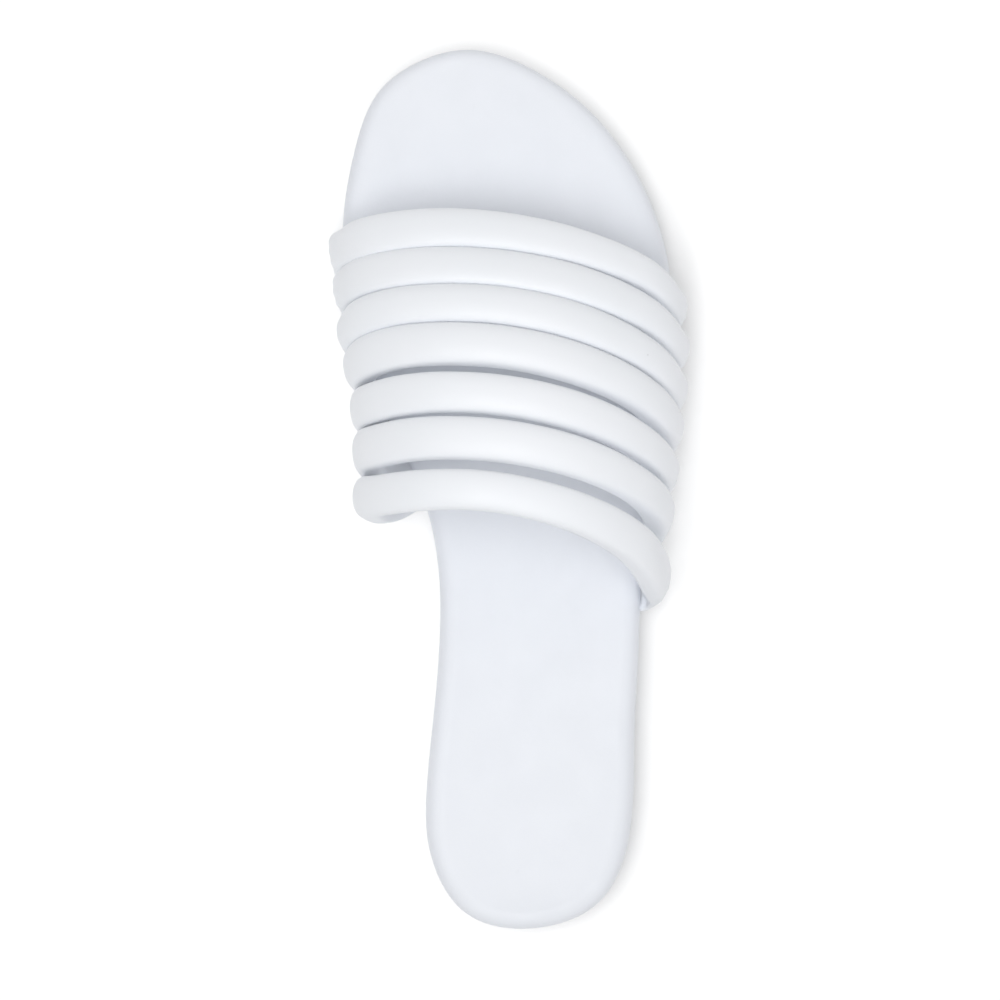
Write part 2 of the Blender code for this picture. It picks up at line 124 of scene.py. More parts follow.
@dataclass(frozen=True)
class Spline:
    """A smooth curve through given points.

    Attributes:
        points: The points, one row each.
        closed: Whether the curve comes back to its first point.
    """

    points: Array
    closed: bool = False

    def tangents(self, chords: Array) -> Array:
        """Tangents that join the spans with even curvature.

        Args:
            chords: Distance from each point to the next.

        Returns:
            One tangent for each point.
        """
        count = len(self.points)
        matrix = np.zeros((count, count))
        right = np.zeros_like(self.points)
        for i in range(count):
            if not self.closed and i in (0, count - 1):
                first = 0 if i == 0 else count - 2
                matrix[i, i] = 2
                matrix[i, 1 if i == 0 else count - 2] = 1
                right[i] = 3 * (self.points[first + 1] - self.points[first]) / chords[first]
                continue
            before, after = chords[i - 1], chords[i]
            share = after / (before + after)
            matrix[i, i] = 2
            matrix[i, i - 1] = share
            matrix[i, (i + 1) % count] = 1 - share
            back = (self.points[i] - self.points[i - 1]) / before
            ahead = (self.points[(i + 1) % count] - self.points[i]) / after
            right[i] = 3 * (share * back + (1 - share) * ahead)
        return np.linalg.solve(matrix, right)

    def places(self, steps: Sequence[int]) -> Array:
        """Points along the curve.

        Args:
            steps: How many steps each span is cut into.

        Returns:
            The points, with the last one of an open curve included.
        """
        ahead = np.roll(self.points, -1, axis=0)
        chords = np.linalg.norm(ahead - self.points, axis=1)
        tangents = self.tangents(chords)
        rows = []
        spans = len(self.points) if self.closed else len(self.points) - 1
        for k in range(spans):
            j = (k + 1) % len(self.points)
            t = (np.arange(steps[k]) / steps[k])[:, None]
            start = self.points[k] * (1 + 2 * t) + tangents[k] * chords[k] * t
            end = self.points[j] * (3 - 2 * t) + tangents[j] * chords[k] * (t - 1)
            rows.append(start * (1 - t) ** 2 + end * t**2)
        if not self.closed:
            rows.append(self.points[-1:])
        return np.vstack(rows)


# ---------------------------------------------------------------- shape of the shoe


@dataclass
class SoleShape:
    """The sole's outline and side profile, from which every other piece takes its place.

    The tables repeat the ones of the solids. OUTLINE holds along (share of length) and across (share of
    ball_width); PROFILE holds along and then the outsole's upper face, toe spring and cup as shares of
    outsole_heel, toe_spring and cup_depth.

    Attributes:
        length: Footbed, heel to toe, in millimetres like every size below.
        ball_width: Footbed, across the ball of the foot.
        outsole_heel: Outsole at the heel, floor to its upper face.
        toe_spring: How much higher the outsole is at the tip of the toe.
        footbed_thickness: On the footbed's middle line.
        cup_depth: How much higher the footbed is near its edge at the heel.
        clearance: Between footbed and outsole.
        half_steps: Steps along each side of the outline.
        end_crowding: How much closer together those steps are at toe and heel.
        spine_reach: Length of the middle line, as a share of the sole's.
    """

    length: float = 256.0
    ball_width: float = 96.0
    outsole_heel: float = 8.2
    toe_spring: float = 6.2
    footbed_thickness: float = 7.5
    cup_depth: float = 1.6
    clearance: float = 0.3
    half_steps: int = 330
    end_crowding: float = 0.07
    spine_reach: float = 0.84

    OUTLINE = (
        (1.000, -0.073), (0.990, -0.215), (0.960, -0.340), (0.893, -0.428), (0.826, -0.470), (0.765, -0.479),
        (0.702, -0.458), (0.630, -0.411), (0.582, -0.362), (0.531, -0.308), (0.483, -0.266), (0.433, -0.243),
        (0.389, -0.238), (0.321, -0.250), (0.230, -0.284), (0.155, -0.312), (0.108, -0.315), (0.066, -0.290),
        (0.024, -0.220), (0.000, -0.010), (0.030, 0.207), (0.075, 0.278), (0.125, 0.309), (0.218, 0.329),
        (0.309, 0.354), (0.400, 0.378), (0.455, 0.402), (0.525, 0.438), (0.600, 0.474), (0.672, 0.501),
        (0.738, 0.509), (0.790, 0.486), (0.831, 0.450), (0.877, 0.388), (0.925, 0.291), (0.967, 0.156),
    )
    PROFILE = (
        (0.00, 1.195, 0.00, 1.00), (0.04, 1.098, 0.00, 1.00), (0.15, 1.000, 0.00, 1.00), (0.32, 0.915, 0.00, 0.75),
        (0.35, 0.878, 0.00, 0.69), (0.45, 0.720, 0.00, 0.50), (0.55, 0.561, 0.00, 0.31), (0.62, 0.488, 0.00, 0.25),
        (0.82, 0.500, 0.00, 0.19), (0.90, 0.476, 0.27, 0.19), (1.00, 0.415, 1.00, 0.19),
    )

    def __post_init__(self) -> None:
        """Works out the outline once: its two sides toe to heel, the loop round it and the line between them."""
        corners = np.array([(across * self.ball_width, share * self.length) for share, across in self.OUTLINE])
        steps_between_corners = 24
        dense = Spline(corners, closed=True).places([steps_between_corners] * len(corners))
        dense = np.roll(dense, -int(np.argmax(dense[:, 1])), axis=0)
        heel = int(np.argmin(dense[:, 1]))
        medial = self.respaced(dense[: heel + 1])
        lateral = self.respaced(np.vstack([dense[heel:], dense[:1]])[::-1])
        middle = (medial + lateral) / 2
        centre = middle.mean(axis=0)
        loop = np.vstack([medial, lateral[-2:0:-1]])
        step = np.roll(loop, -1, axis=0) - np.roll(loop, 1, axis=0)
        self.medial = medial
        self.lateral = lateral
        self.loop = loop
        self.outward = unit(np.column_stack([step[:, 1], -step[:, 0]]))
        self.spine = centre + (middle - centre) * self.spine_reach

    def respaced(self, points: Array) -> Array:
        """The same line in half_steps steps, closer together at its two ends, where a sole bends most.

        Args:
            points: A line of flat points.

        Returns:
            half_steps + 1 points on that line.
        """
        run = run_along(points)
        share = np.linspace(0, 1, self.half_steps + 1)
        return read_line(points, run, run[-1] * (share - self.end_crowding * np.sin(2 * math.pi * share)))

    def column(self, column: int, y: Any) -> Array:
        """A column of the side profile at places along the shoe."""
        rows = np.array(self.PROFILE)
        return smooth_between(rows[:, 0], rows[:, column], np.asarray(y) / self.length)

    def outsole_top(self, y: Any) -> Array:
        """Height of the outsole's upper face."""
        return self.outsole_heel * self.column(1, y) + self.toe_spring * self.column(2, y)

    def footbed_bottom(self, y: Any) -> Array:
        """Height of the footbed's lower face."""
        return self.outsole_top(y) + self.clearance

    def footbed_top(self, y: Any) -> Array:
        """Height of the footbed's upper face on its middle line."""
        return self.footbed_bottom(y) + self.footbed_thickness

    def cup(self, y: Any) -> Array:
        """How much higher the footbed is near its edge than on its middle line."""
        return self.cup_depth * self.column(3, y)

    def inset(self, distance: Any) -> Array:
        """The edge moved inwards by a distance, or by one distance for each of its points."""
        return self.loop - self.outward * (np.ones(len(self.loop)) * distance)[:, None]

    def towards_spine(self, distance: float, share: float) -> Array:
        """The inset edge moved further in.

        Args:
            distance: How far the edge is inset first, in millimetres.
            share: Share of the way from there to the middle line.

        Returns:
            One point for each point of the edge.
        """
        ring = self.inset(distance)
        target = np.vstack([self.spine, self.spine[self.half_steps - 1 : 0 : -1]])
        return ring + (target - ring) * share

    def foot(self, side: Side, share: float, reach: float) -> tuple[Array, Array]:
        """A point of the footbed's edge.

        Args:
            side: Which side of the shoe.
            share: Share of the length from the heel.
            reach: Half of the stretch over which the edge's direction is read.

        Returns:
            The point and its outward direction.
        """
        line = self.medial if side is Side.MEDIAL else self.lateral
        y = share * self.length
        x, ahead, behind = (np.interp(place, line[::-1, 1], line[::-1, 0]) for place in (y, y + reach, y - reach))
        return np.array([x, y]), unit(np.array([2 * reach, behind - ahead]) * side.value)


class Workshop:
    def __init__(self, sole: SoleShape) -> None:
        """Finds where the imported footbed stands.

        Args:
            sole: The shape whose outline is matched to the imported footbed.
        """
        low, high = (np.array(corner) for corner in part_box("footbed"))
        middle = (sole.loop.min(axis=0) + sole.loop.max(axis=0)) / 2
        self.offset = np.array([*((low + high)[:2] / 2 - middle * MM), 0.0])

    def placed(self, places: Array) -> Array:
        """Places in the shoe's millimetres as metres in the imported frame."""
        return np.asarray(places) * MM + self.offset

    def mesh(self, name: str, places: Array, faces: Sequence[Sequence[int]]) -> bpy.types.Object:
        """A smooth-shaded object from places in millimetres.

        Args:
            name: The piece's name.
            places: Its points in the shoe's own frame.
            faces: Its faces, turned outward.

        Returns:
            The object, linked to the scene.
        """
        body = bpy.data.meshes.new(name)
        body.from_pydata(self.placed(places).tolist(), [], [tuple(face) for face in faces])
        body.polygons.foreach_set("use_smooth", [True] * len(body.polygons))
        body.update()
        made = bpy.data.objects.new(name, body)
        bpy.context.scene.collection.objects.link(made)
        return made

    def declare(
        self, piece: bpy.types.Object, finish: "Finish", nodes: Sequence[str] = ()
    ) -> None:
        """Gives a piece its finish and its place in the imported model.

        Args:
            piece: The piece.
            finish: What it is made of.
            nodes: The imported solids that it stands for.
        """
        piece.data.materials.append(finish.material())
        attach(piece, "root")
        if nodes:
            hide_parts(*nodes)
        LOG.info("%s: %d faces for %s", piece.name, len(piece.data.polygons), ", ".join(nodes) or "no solid")


def rings_of(first: int, rows: int, count: int, flip: bool = False) -> list[tuple[int, ...]]:
    """Quads between rows of closed rings.

    Args:
        first: Number of the first point.
        rows: How many rings there are.
        count: Points in a ring.
        flip: Turns the faces over.

    Returns:
        The faces.
    """
    k = np.arange(count)
    near = first + np.arange(rows - 1)[:, None] * count + k
    beside = near - k + (k + 1) % count
    quads = np.stack([near, beside, beside + count, near + count], axis=-1).reshape(-1, 4)
    return [tuple(quad) for quad in (quads[:, ::-1] if flip else quads).tolist()]


def tube_faces(first: int, rows: int, count: int) -> list[tuple[int, ...]]:
    """Faces of a closed tube whose rings turn from its side to its upper face.

    Args:
        first: Number of the first point.
        rows: How many rings there are.
        count: Points in a ring.

    Returns:
        The faces, with one over each end.
    """
    start = tuple(range(first, first + count))
    end = tuple(range(first + (rows - 1) * count, first + rows * count))
    return [*rings_of(first, rows, count, flip=True), start, end[::-1]]


# ---------------------------------------------------------------- finishes


def linear(hex_colour: str) -> tuple[float, float, float, float]:
    """An sRGB hex colour as linear light."""
    shares = [int(hex_colour[i : i + 2], 16) / 255 for i in (1, 3, 5)]
    return (*((s / 12.92 if s <= 0.04045 else ((s + 0.055) / 1.055) ** 2.4) for s in shares), 1.0)


def add_node(tree: bpy.types.NodeTree, kind: str, **values: Any) -> bpy.types.bpy_prop_collection:
    """Adds a node.

    Args:
        tree: The material's or world's nodes.
        kind: The node's type, after ShaderNode.
        values: Properties and sockets by name, with _ for a space; a socket without a name of its own is called by
            its number after the letter n. An output is linked, and any other value is set.

    Returns:
        The node's outputs.
    """
    node = tree.nodes.new("ShaderNode" + kind)
    for name, value in values.items():
        key = int(name[1:]) if name[0] == "n" and name[1:].isdigit() else name.replace("_", " ")
        if isinstance(value, bpy.types.NodeSocket):
            tree.links.new(value, node.inputs[key])
        elif isinstance(key, int) or key in node.inputs:
            node.inputs[key].default_value = value
        else:
            setattr(node, name, value)
    return node.outputs


def per_metre(millimetres: float) -> float:
    """A texture's scale from the width of one of its cells in millimetres."""
    return 1000 / millimetres


def wave_scale(millimetres: float) -> float:
    """A wave texture's scale from the distance between its bands, which is 2 pi / 20 units at scale one."""
    return per_metre(millimetres) * 2 * math.pi / 20


class Finish:
    """A surface finish that makes its material once."""

    made: dict[Any, bpy.types.Material] = {}

    def build(self, tree: bpy.types.NodeTree) -> bpy.types.NodeSocket:
        """Adds the finish's nodes and returns its shader's output."""
        raise NotImplementedError

    def material(self) -> bpy.types.Material:
        """Gives the finish's material.

        Returns:
            The material, made the first time it is asked for.
        """
        if self not in Finish.made:
            coat = bpy.data.materials.new(self.name)
            coat.use_nodes = True
            coat.node_tree.nodes.clear()
            add_node(coat.node_tree, "OutputMaterial", Surface=self.build(coat.node_tree))
            Finish.made[self] = coat
        return Finish.made[self]


@dataclass(frozen=True)
class FauxLeather(Finish):
    """Polyurethane-coated fabric, embossed with a faint grain.

    The eye gets an even white with a soft satin sheen; the grain only breaks up the edge of a highlight.

    Attributes:
        name: The material's name.
        colour: Its white.
        worn: The white of slightly soiled or thinner places.
        roughness: Of the coating.
        grain: Width of a grain cell, in millimetres like the sizes below.
        grain_depth: Height of the grain.
        dimple: Width of the soft unevenness of the foam below.
        dimple_depth: Height of that unevenness.
        patch: Width of the patches in which the white varies.
        speck_spacing: Between specks of dust.
        speck: Half of a speck's width.
    """

    name: str
    colour: str
    worn: str
    roughness: float = 0.52
    grain: float = 0.7
    grain_depth: float = 0.02
    dimple: float = 9.0
    dimple_depth: float = 0.05
    patch: float = 38.0
    speck_spacing: float = 21.0
    speck: float = 0.14

    def build(self, tree: bpy.types.NodeTree) -> bpy.types.NodeSocket:
        """Adds the leather's nodes.

        Args:
            tree: The material's nodes.

        Returns:
            The Principled shader's output.
        """
        place = add_node(tree, "TexCoord")["Object"]
        cells = add_node(tree, "TexVoronoi", Scale=per_metre(self.grain), Vector=place)["Distance"]
        soft = add_node(tree, "TexNoise", Scale=per_metre(self.dimple), Detail=2.0, Vector=place)[0]
        tone = add_node(tree, "TexNoise", Scale=per_metre(self.patch), Detail=3.0, Vector=place)[0]
        share = add_node(tree, "MapRange", From_Min=0.35, From_Max=0.75, Value=tone)[0]
        # The white wanders a little from patch to patch, as it does on handled goods.
        whites = {"n6": linear(self.colour), "n7": linear(self.worn)}
        white = add_node(tree, "Mix", data_type="RGBA", Factor=share, **whites)[2]
        # A speck of dust here and there, a quarter of a millimetre wide.
        specks = add_node(tree, "TexVoronoi", Scale=per_metre(self.speck_spacing), Vector=place)["Distance"]
        near = self.speck / self.speck_spacing
        clean = add_node(tree, "MapRange", From_Min=near, From_Max=near * 2, To_Min=0.78, To_Max=1.0, Value=specks)[0]
        # The coating is rubbed thinner along the ridges, where it turns a little darker.
        sharp = add_node(tree, "NewGeometry")["Pointiness"]
        ridge = add_node(tree, "MapRange", From_Min=0.51, From_Max=0.58, To_Min=1.0, To_Max=0.985, Value=sharp)[0]
        shade = add_node(tree, "Math", operation="MULTIPLY", n0=clean, n1=ridge)[0]
        colour = add_node(tree, "VectorMath", operation="SCALE", Vector=white, Scale=shade)[0]
        dull, polished = self.roughness + 0.05, self.roughness - 0.03
        gloss = add_node(tree, "MapRange", From_Min=0.3, From_Max=0.7, To_Min=polished, To_Max=dull, Value=soft)[0]
        foam = add_node(tree, "Bump", Strength=1.0, Distance=self.dimple_depth * MM, Height=soft)[0]
        bump = add_node(tree, "Bump", Strength=1.0, Distance=self.grain_depth * MM, Height=cells, Normal=foam)[0]
        coating = {"Base_Color": colour, "Roughness": gloss, "IOR": 1.5, "Metallic": 0.0}
        return add_node(tree, "BsdfPrincipled", Normal=bump, **coating)[0]


@dataclass(frozen=True)
class MouldedRubber(Finish):
    """Injection-moulded white rubber, spark-eroded matt in the mould.

    The eye gets a slightly warmer and duller white than the leather, with a fine pitted texture, and on the
    underside the ribs of a shallow tread.

    Attributes:
        name: The material's name.
        colour: Its white.
        shade: The white of its duller patches.
        roughness: Of the skin.
        pit: Width of a pit, in millimetres like the sizes below.
        pit_depth: Depth of a pit.
        patch: Width of the patches in which the white varies.
        tread: Spacing of the fine tread's ribs.
        tread_depth: Their depth.
        chevron: Width of half a chevron of ribs.
    """

    name: str
    colour: str
    shade: str
    roughness: float = 0.6
    pit: float = 0.5
    pit_depth: float = 0.05
    patch: float = 25.0
    tread: float = 2.6
    tread_depth: float = 0.5
    chevron: float = 6.5

    def build(self, tree: bpy.types.NodeTree) -> bpy.types.NodeSocket:
        """Adds the rubber's nodes.

        Args:
            tree: The material's nodes.

        Returns:
            The Principled shader's output.
        """
        coordinates = add_node(tree, "TexCoord")
        place = coordinates["Object"]
        pits = add_node(tree, "TexNoise", Scale=per_metre(self.pit), Detail=2.0, Vector=place)[0]
        tone = add_node(tree, "TexNoise", Scale=per_metre(self.patch), Detail=2.0, Vector=place)[0]
        whites = {"n6": linear(self.colour), "n7": linear(self.shade)}
        colour = add_node(tree, "Mix", data_type="RGBA", Factor=tone, **whites)[2]
        pitted = add_node(tree, "Bump", Strength=1.0, Distance=self.pit_depth * MM, Height=pits)[0]
        # The tread is cut only where the surface faces the floor.
        upright = add_node(tree, "SeparateXYZ", Vector=coordinates["Normal"])["Z"]
        below = add_node(tree, "MapRange", From_Min=-0.9, From_Max=-0.97, Value=upright)[0]
        bent = self.chevrons(tree, place)
        wave = {"Scale": wave_scale(self.tread), "Distortion": 0.0, "bands_direction": "Y"}
        ribs = add_node(tree, "TexWave", Vector=bent, **wave)[1]
        cut = add_node(tree, "Math", operation="MULTIPLY", n0=ribs, n1=below)[0]
        bump = add_node(tree, "Bump", Strength=1.0, Distance=self.tread_depth * MM, Height=cut, Normal=pitted)[0]
        return add_node(tree, "BsdfPrincipled", IOR=1.52, Roughness=self.roughness, Base_Color=colour, Normal=bump)[0]

    def chevrons(self, tree: bpy.types.NodeTree, place: bpy.types.NodeSocket) -> bpy.types.NodeSocket:
        """Places bent into shallow chevrons across the sole.

        Args:
            tree: The material's nodes.
            place: The places.

        Returns:
            The bent places.
        """
        axes = add_node(tree, "SeparateXYZ", Vector=place)
        fold = add_node(tree, "Math", operation="PINGPONG", n0=axes["X"], n1=self.chevron * MM)[0]
        bent = add_node(tree, "Math", operation="ADD", n0=axes["Y"], n1=fold)[0]
        return add_node(tree, "CombineXYZ", X=axes["X"], Y=bent)[0]


@dataclass(frozen=True)
class SewingThread(Finish):
    """Bonded polyester thread, twisted from three strands.

    The eye gets a matt white, a little duller than the leather, with slanting shadows between the strands.

    Attributes:
        name: The material's name.
        colour: Its white.
        twist: Between two strands, in millimetres, drawn coarser than the real 0.4 so that it shows.
        twist_depth: Depth of the furrow between them, in millimetres.
    """

    name: str = "bonded_polyester_thread"
    colour: str = "#E8EBEF"
    twist: float = 1.184
    twist_depth: float = 0.05

    def build(self, tree: bpy.types.NodeTree) -> bpy.types.NodeSocket:
        """Adds the thread's nodes.

        Args:
            tree: The material's nodes.

        Returns:
            The Principled shader's output.
        """
        wave = {"Scale": wave_scale(self.twist), "Distortion": 0.5, "bands_direction": "DIAGONAL"}
        strands = add_node(tree, "TexWave", Vector=add_node(tree, "TexCoord")["Object"], **wave)[1]
        bump = add_node(tree, "Bump", Strength=1.0, Distance=self.twist_depth * MM, Height=strands)[0]
        matt = {"Roughness": 0.7, "Sheen_Weight": 0.2, "IOR": 1.5}
        return add_node(tree, "BsdfPrincipled", Base_Color=linear(self.colour), Normal=bump, **matt)[0]


@dataclass(frozen=True)
class StudioBoard(Finish):
    """A sheet of white studio board, matt all over and lit to pure white.

    The eye gets an empty white ground that darkens only where the shoe stands close over it, a painted shadow made by
    dimming the board's own glow.

    Attributes:
        name: The material's name.
        colour: Its white.
        glow: Light that it adds, as under a lit sweep.
        shade_reach: How far from the shoe the painted shadow reaches, in millimetres.
        tooth: Width of the board's tooth, in millimetres.
        open_side: Direction from which the shoe has to stand near for the painted shadow to fall.
    """

    name: str = "white_studio_board"
    colour: str = "#EAEAEA"
    glow: float = 0.30
    shade_reach: float = 12.0
    tooth: float = 1.5
    open_side: tuple[float, float, float] = (-0.8, 0.1, 0.6)

    def build(self, tree: bpy.types.NodeTree) -> bpy.types.NodeSocket:
        """Adds the board's nodes.

        Args:
            tree: The material's nodes.

        Returns:
            The Principled shader's output.
        """
        place = add_node(tree, "TexCoord")["Object"]
        tooth = add_node(tree, "TexNoise", Scale=per_metre(self.tooth), Detail=2.0, Vector=place)[0]
        bump = add_node(tree, "Bump", Strength=0.3, Distance=0.02 * MM, Height=tooth)[0]
        # The glow is dimmed into a painted shadow where something stands close by on the medial side, which darkens
        # the board under the shoe's lateral edge alone.
        side = add_node(tree, "CombineXYZ", **dict(zip("XYZ", self.open_side)))[0]
        reach = self.shade_reach * MM
        free = add_node(tree, "AmbientOcclusion", samples=6, Distance=reach, Normal=side)["AO"]
        light = add_node(tree, "MapRange", From_Min=0.1, From_Max=0.9, To_Max=self.glow, Value=free)[0]
        matt = {"Base_Color": linear(self.colour), "Roughness": 0.9, "Specular_IOR_Level": 0.1}
        lit = {"Emission_Color": (1.0, 1.0, 1.0, 1.0), "Emission_Strength": light}
        return add_node(tree, "BsdfPrincipled", Normal=bump, **matt, **lit)[0]


# ---------------------------------------------------------------- footbed


@dataclass
class Footbed:
    """The padded insole: foam board wrapped in faux leather, level below, rolled over at its edge, cupped on top.

    SECTION holds the rolled edge: distance in (share of edge_roll) and height (share of the thickness).

    Attributes:
        sole: The shape that it follows.
        feet: Shares of the length at which the straps' ends lie under each side.
        edge_roll: How far in the padded edge rolls over, in millimetres like the sizes below.
        edge_rows: Rings over the edge.
        top_rows: Rings from the edge to the middle line.
        tab_lift: How far the straps' ends press the lower face up.
        tab_depth: How far in they do so.
        tab_close: Further in than that, the lower face is level again.
        tab_width: Width of each of their pockets at its mouth.
        tab_ease: Stretch over which a pocket closes beside an end.
        puckers: Height of the soft puckers where the leather is drawn round the edge.
        finish: What it is wrapped in.
    """

    sole: SoleShape
    feet: dict[Side, Sequence[float]]
    edge_roll: float = 5.0
    edge_rows: int = 26
    top_rows: int = 22
    tab_lift: float = 2.9
    tab_depth: float = 15.5
    tab_close: float = 4.0
    tab_width: float = 11.3
    tab_ease: float = 0.6
    puckers: float = 0.12
    finish: FauxLeather = FauxLeather("footbed_faux_leather", "#EEF1F7", "#ECEFF5")

    SECTION = (
        (0.55, 0.0), (0.20, 0.035), (0.05, 0.14), (0.0, 0.36), (0.06, 0.62), (0.26, 0.86), (0.60, 0.965), (1.0, 1.0),
    )

    def pressed(self) -> Array:
        """Works out the pockets of the straps' ends.

        Returns:
            How far the lower face is lifted at each point of the loop, in millimetres.
        """
        y = self.sole.loop[:, 1]
        on_medial = np.arange(len(y)) <= self.sole.half_steps
        lift = np.zeros(len(y))
        for side, shares in self.feet.items():
            own = on_medial if side is Side.MEDIAL else ~on_medial
            for share in shares:
                off = np.abs(y - share * self.sole.length)
                lift = np.maximum(lift, own * (1 - ramp(off, self.tab_width / 2 - self.tab_ease, self.tab_width / 2)))
        return lift * self.tab_lift

    def section(self) -> tuple[Array, Array]:
        """Spreads the rings evenly over the rolled edge.

        Returns:
            Their distances in, in millimetres, and their shares of the height.
        """
        size = np.array([self.edge_roll, self.sole.footbed_thickness])
        steps_between_corners = 8
        line = Spline(np.array(self.SECTION) * size).places([steps_between_corners] * (len(self.SECTION) - 1))
        run = run_along(line)
        rings = read_line(line, run, np.linspace(0, run[-1], self.edge_rows))
        return rings[:, 0], np.clip(rings[:, 1] / self.sole.footbed_thickness, 0, 1)

    def top_height(self, ring: Array, share: float) -> Array:
        """Height of the upper face at a ring that is a share of the way to the middle line."""
        y = ring[:, 1]
        return self.sole.footbed_top(y) + self.sole.cup(y) * (1 - share) ** 2

    def pucker(self, share: float) -> Array:
        """Soft puckers in one ring, strongest half way over the rolled edge and round toe and heel.

        Args:
            share: Share of the way over the edge.

        Returns:
            The added height at each point of the loop, in millimetres.
        """
        run = run_along(self.sole.loop)
        along = self.sole.loop[:, 1] / self.sole.length
        ends = 0.35 + 0.65 * (ramp(along, 0.86, 0.97) + 1 - ramp(along, 0.02, 0.12))
        # Millimetres to one radian of the fine waves, the coarse ones, and the drift that keeps the fine uneven.
        fine, coarse, drift = 2.3, 5.1, 17.0
        waves = np.sin(run / fine + 1.5 * np.sin(run / drift)) + 0.8 * np.sin(run / coarse + 0.7)
        return self.puckers * 0.5 * waves * ends * math.sin(math.pi * min(max(share, 0.0), 1.0))

    def build(self, shop: Workshop) -> bpy.types.Object:
        """Makes the footbed.

        Args:
            shop: Where pieces are made.

        Returns:
            The piece.
        """
        sole = self.sole
        lift = self.pressed()
        rings = []
        below = (self.tab_depth + self.tab_close, self.tab_depth, self.tab_depth * 0.55, self.edge_roll * 0.9)
        for inwards in below:
            ring = sole.inset(inwards)
            fade = 0.0 if inwards > self.tab_depth else 1.0
            rings.append(np.column_stack([ring, sole.footbed_bottom(ring[:, 1]) + lift * fade]))
        for inwards, share in zip(*self.section()):
            ring = sole.inset(inwards)
            y = ring[:, 1]
            rise = share * (sole.footbed_thickness + sole.cup(y) * ramp(share, 0.3, 1.0))
            rise = rise + lift * (1 - share) ** 1.5 + self.pucker(inwards / self.edge_roll)
            rings.append(np.column_stack([ring, sole.footbed_bottom(y) + rise]))
        for share in np.linspace(0, 0.97, self.top_rows)[1:]:
            ring = sole.towards_spine(self.edge_roll, share)
            rings.append(np.column_stack([ring, self.top_height(ring, share)]))
        spine_y = sole.spine[:, 1]
        low_line, high_line = (
            np.column_stack([sole.spine, height(spine_y)]) for height in (sole.footbed_bottom, sole.footbed_top)
        )
        count = len(sole.loop)
        total = len(rings) * count
        faces = rings_of(0, len(rings), count)
        faces += self.closing(0, total, count, flip=True)
        faces += self.closing(total - count, total + len(low_line), count)
        piece = shop.mesh("padded_footbed", np.vstack([*rings, low_line, high_line]), faces)
        shop.declare(piece, self.finish, ["footbed"])
        return piece

    def closing(self, start: int, spine: int, count: int, flip: bool = False) -> list[tuple[int, ...]]:
        """Faces between a ring and the middle line.

        Args:
            start: Number of the ring's first point.
            spine: Number of the middle line's first point.
            count: Points in the ring.
            flip: Turns the faces over.

        Returns:
            The faces.
        """
        faces = []
        for i in range(self.sole.half_steps):
            opposite = (count - i) % count
            faces.append((start + i, start + i + 1, spine + i + 1, spine + i))
            faces.append((start + count - i - 1, start + opposite, spine + i, spine + i + 1))
        return [face[::-1] for face in faces] if flip else faces


# ---------------------------------------------------------------- straps


class TubePath(NamedTuple):
    """Where one tube runs, in shares of the sole's length, its ball width and the instep's height.

    Attributes:
        crown_along: The crown's place along the shoe.
        crown_height: Its height over the floor.
        medial_along: The medial bulge's place along the shoe.
        medial_across: Its place across.
        lateral_along: The lateral bulge's place along the shoe.
        lateral_across: Its place across.
        medial_foot: The medial end's place along the footbed's edge.
        lateral_foot: The lateral end's place there.
    """

    crown_along: float
    crown_height: float
    medial_along: float
    medial_across: float
    lateral_along: float
    lateral_across: float
    medial_foot: float
    lateral_foot: float


